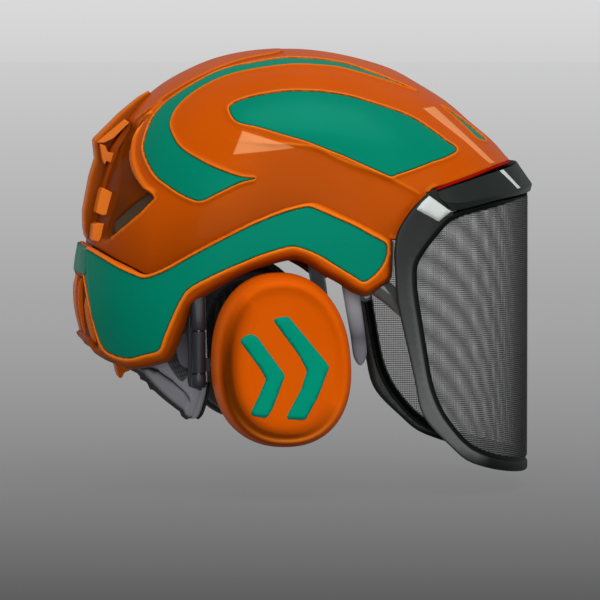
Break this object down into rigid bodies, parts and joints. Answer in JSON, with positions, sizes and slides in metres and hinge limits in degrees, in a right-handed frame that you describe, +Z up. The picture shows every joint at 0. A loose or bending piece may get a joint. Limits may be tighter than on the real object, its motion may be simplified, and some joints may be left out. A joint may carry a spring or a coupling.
{
  "type": "forestry helmet",
  "caption": "Forestry safety helmet with green inlay panels, lifting steel mesh visor, swing-out ear cups on sliding rear arms, and a headband with a dial-tightened nape cradle",
  "frame": {"origin": "the middle of the underside of the crown pad, where the helmet sits on the top of the head", "axes": "+X towards the face and visor (the longest extent), +Y towards the wearer's left ear, +Z up out of the crown"},
  "size_m": [0.2961, 0.242, 0.2676],
  "materials": {
    "orange_shell": "glossy orange moulded ABS",
    "green_panel": "glossy green moulded panel",
    "dark_foam": "matte expanded foam",
    "grey_nylon": "matte grey nylon",
    "sweat_pad": "black brushed fabric over foam",
    "black_nylon": "satin black glass-filled nylon",
    "mesh_wire": "dark nylon-coated steel mesh",
    "red_seal": "soft red seal",
    "pin_steel": "turned steel pin",
    "arm_steel": "dark painted spring steel",
    "cushion_vinyl": "soft black vinyl cushion",
    "cup_foam": "open-cell acoustic foam"
  },
  "bodies": {
    "helmet": {"shell_upper": "orange_shell", "shell_lower": "orange_shell", "inlay_stripe_left": "green_panel", "inlay_stripe_right": "green_panel", "inlay_leaf_left": "green_panel", "inlay_leaf_right": "green_panel", "inlay_tip_left": "green_panel", "inlay_tip_right": "green_panel", "inlay_band_left": "green_panel", "inlay_band_right": "green_panel", "rear_spine": "orange_shell", "rear_guard": "orange_shell", "lamp_clip": "orange_shell", "impact_liner": "dark_foam", "headband": "grey_nylon", "brow_pad": "sweat_pad", "suspension_web": "grey_nylon", "crown_pad": "sweat_pad", "temple_arm_left": "grey_nylon", "temple_arm_right": "grey_nylon", "visor_bracket_left": "black_nylon", "visor_bracket_right": "black_nylon", "visor_seal": "red_seal", "muff_socket_left": "black_nylon", "muff_socket_right": "black_nylon"},
    "visor_carrier": {"visor_pin_left": "pin_steel", "visor_pin_right": "pin_steel"},
    "visor": {"visor_frame": "black_nylon", "brow_bar": "black_nylon", "visor_mesh": "mesh_wire", "stay_pin_left": "pin_steel", "stay_pin_right": "pin_steel"},
    "stay_left": {"stay_arm_left": "black_nylon"},
    "stay_right": {"stay_arm_right": "black_nylon"},
    "nape": {"nape_cradle": "grey_nylon", "nape_pad": "sweat_pad", "nape_strap_left": "grey_nylon", "nape_strap_right": "grey_nylon"},
    "dial": {"size_dial": "black_nylon"},
    "muff_bar_left": {"muff_bar_left": "arm_steel", "muff_pin_left": "pin_steel"},
    "muff_yoke_left": {"muff_yoke_left": "black_nylon", "tilt_pin_left": "pin_steel"},
    "ear_cup_left": {"cup_cap_left": "orange_shell", "cup_base_left": "black_nylon", "cup_cushion_left": "cushion_vinyl", "cup_foam_left": "cup_foam", "cup_chevron_front_left": "green_panel", "cup_chevron_rear_left": "green_panel"},
    "muff_bar_right": {"muff_bar_right": "arm_steel", "muff_pin_right": "pin_steel"},
    "muff_yoke_right": {"muff_yoke_right": "black_nylon", "tilt_pin_right": "pin_steel"},
    "ear_cup_right": {"cup_cap_right": "orange_shell", "cup_base_right": "black_nylon", "cup_cushion_right": "cushion_vinyl", "cup_foam_right": "cup_foam", "cup_chevron_front_right": "green_panel", "cup_chevron_rear_right": "green_panel"}
  },
  "joints": [
    {"name": "visor_rise", "type": "slide", "parent": "helmet", "child": "visor_carrier", "axis": [0.35, 0, 0.9367], "range_m": [0, 0.014]},
    {"name": "visor_lift", "type": "hinge", "parent": "visor_carrier", "child": "visor", "pos_m": [0.0715, 0, -0.074], "axis": [0, -1, 0], "range_deg": [0, 62]},
    {"name": "stay_left", "type": "hinge", "parent": "visor", "child": "stay_left", "pos_m": [0.071, 0, -0.125], "axis": [0, -1, 0], "range_deg": [-25, 0]},
    {"name": "stay_right", "type": "hinge", "parent": "visor", "child": "stay_right", "pos_m": [0.071, 0, -0.125], "axis": [0, -1, 0], "range_deg": [-25, 0]},
    {"name": "muff_height_left", "type": "slide", "parent": "helmet", "child": "muff_bar_left", "axis": [0, 0, 1], "range_m": [-0.014, 0.002]},
    {"name": "muff_swing_left", "type": "hinge", "parent": "muff_bar_left", "child": "muff_yoke_left", "pos_m": [-0.0595, 0.0942, -0.148], "axis": [0, 0, 1], "range_deg": [0, 100]},
    {"name": "muff_tilt_left", "type": "hinge", "parent": "muff_yoke_left", "child": "ear_cup_left", "pos_m": [-0.051, 0.0903, -0.156], "axis": [1, 0, 0], "range_deg": [-7, 7]},
    {"name": "muff_height_right", "type": "slide", "parent": "helmet", "child": "muff_bar_right", "axis": [0, 0, 1], "range_m": [-0.014, 0.002]},
    {"name": "muff_swing_right", "type": "hinge", "parent": "muff_bar_right", "child": "muff_yoke_right", "pos_m": [-0.0595, -0.0942, -0.148], "axis": [0, 0, -1], "range_deg": [0, 100]},
    {"name": "muff_tilt_right", "type": "hinge", "parent": "muff_yoke_right", "child": "ear_cup_right", "pos_m": [-0.051, -0.0903, -0.156], "axis": [1, 0, 0], "range_deg": [-7, 7]},
    {"name": "dial_turn", "type": "hinge", "parent": "helmet", "child": "dial", "pos_m": [-0.097, 0, -0.101], "axis": [1, 0, 0], "range_deg": [0, 270]},
    {"name": "nape_draw", "type": "slide", "parent": "helmet", "child": "nape", "axis": [1, 0, 0], "range_m": [0, 0.0081]}
  ],
  "couplings": [
    {"joint": "visor_rise", "follows": "visor_lift", "m_per_rad": 0.012845},
    {"joint": "stay_left", "follows": "visor_lift", "ratio": -0.25},
    {"joint": "stay_right", "follows": "visor_lift", "ratio": -0.25},
    {"joint": "nape_draw", "follows": "dial_turn", "m_per_rad": 0.001698}
  ]
}
